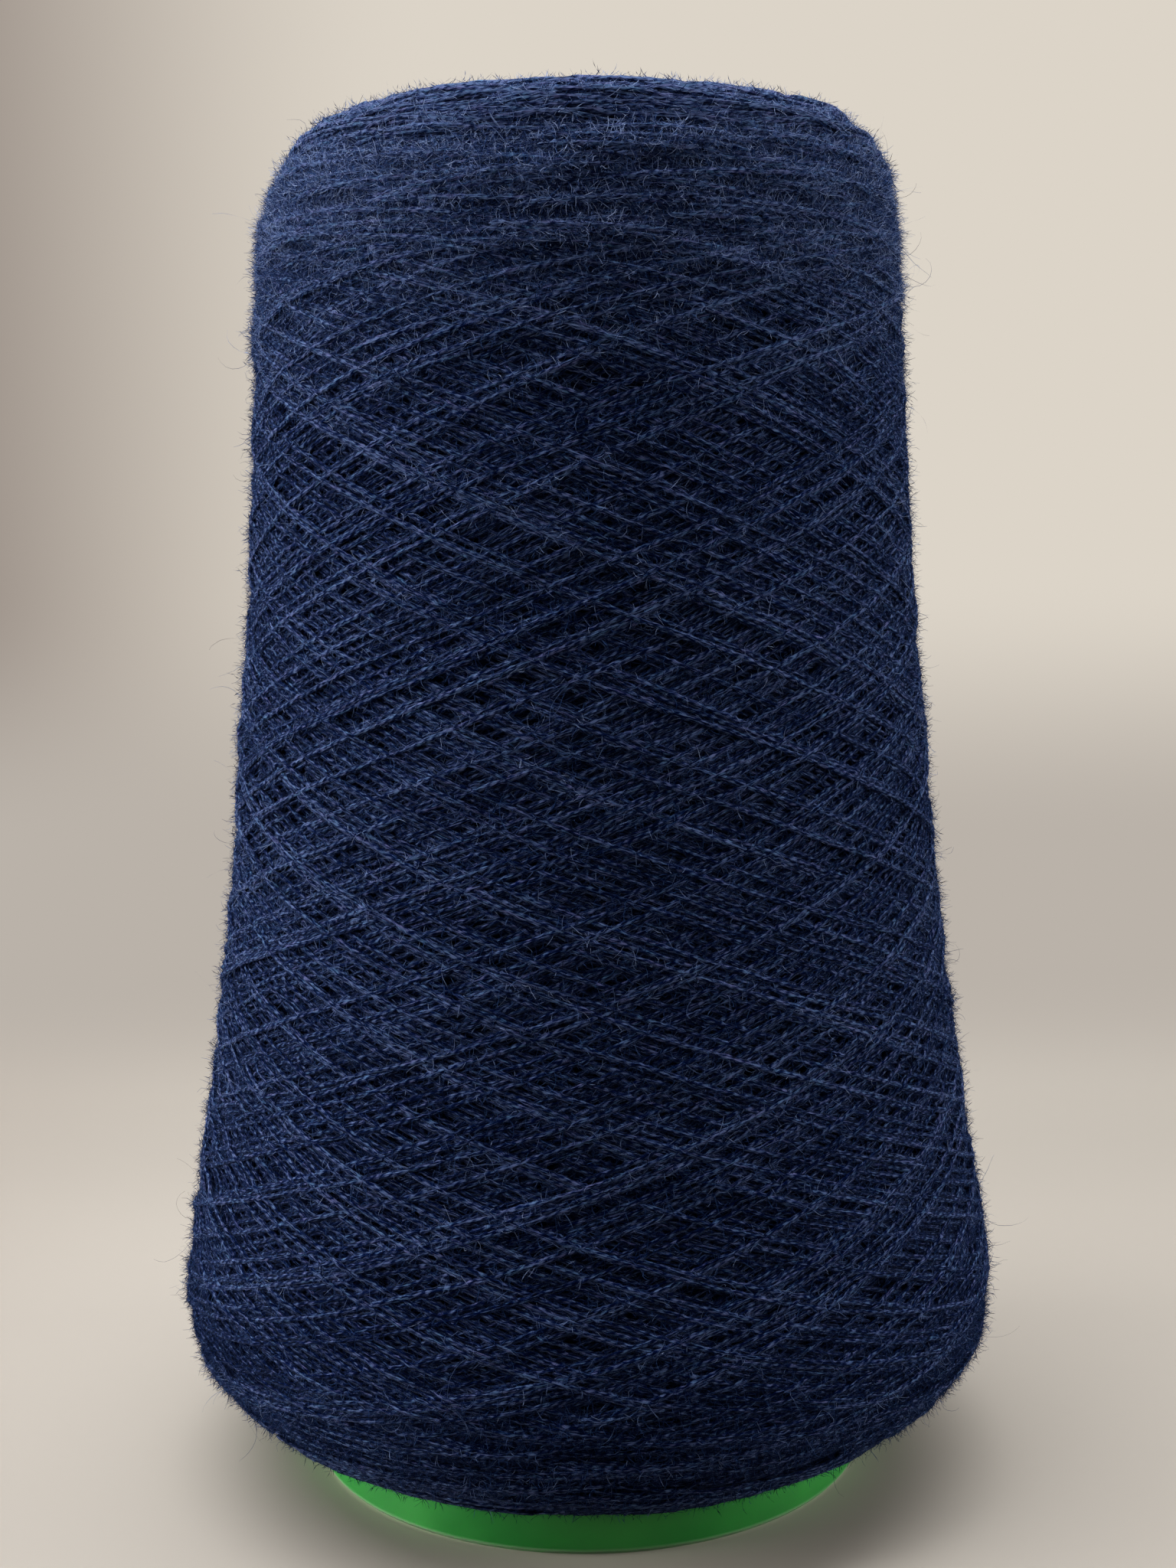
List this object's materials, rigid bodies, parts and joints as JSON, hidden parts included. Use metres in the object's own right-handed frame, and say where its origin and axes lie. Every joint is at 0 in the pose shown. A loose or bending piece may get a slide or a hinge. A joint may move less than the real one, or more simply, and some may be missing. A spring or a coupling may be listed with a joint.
{
  "type": "yarn cone",
  "caption": "Cone of cross-wound yarn on a hollow tapered plastic cone that stands on its open base; the yarn is drawn off over the nose.",
  "frame": {"origin": "centre of the base ring that the cone stands on", "axes": "+Z along the cone's axis, from base to nose; +Y towards the tail slot in the base edge, -Y is the front"},
  "size_m": [0.0988, 0.0991, 0.165],
  "materials": {
    "cone_plastic": "smooth translucent moulding, satin",
    "yarn": "woolly, matt"
  },
  "bodies": {
    "root": {"cone": "cone_plastic", "yarn_layers": "yarn", "yarn_winding": "yarn"}
  },
  "joints": []
}
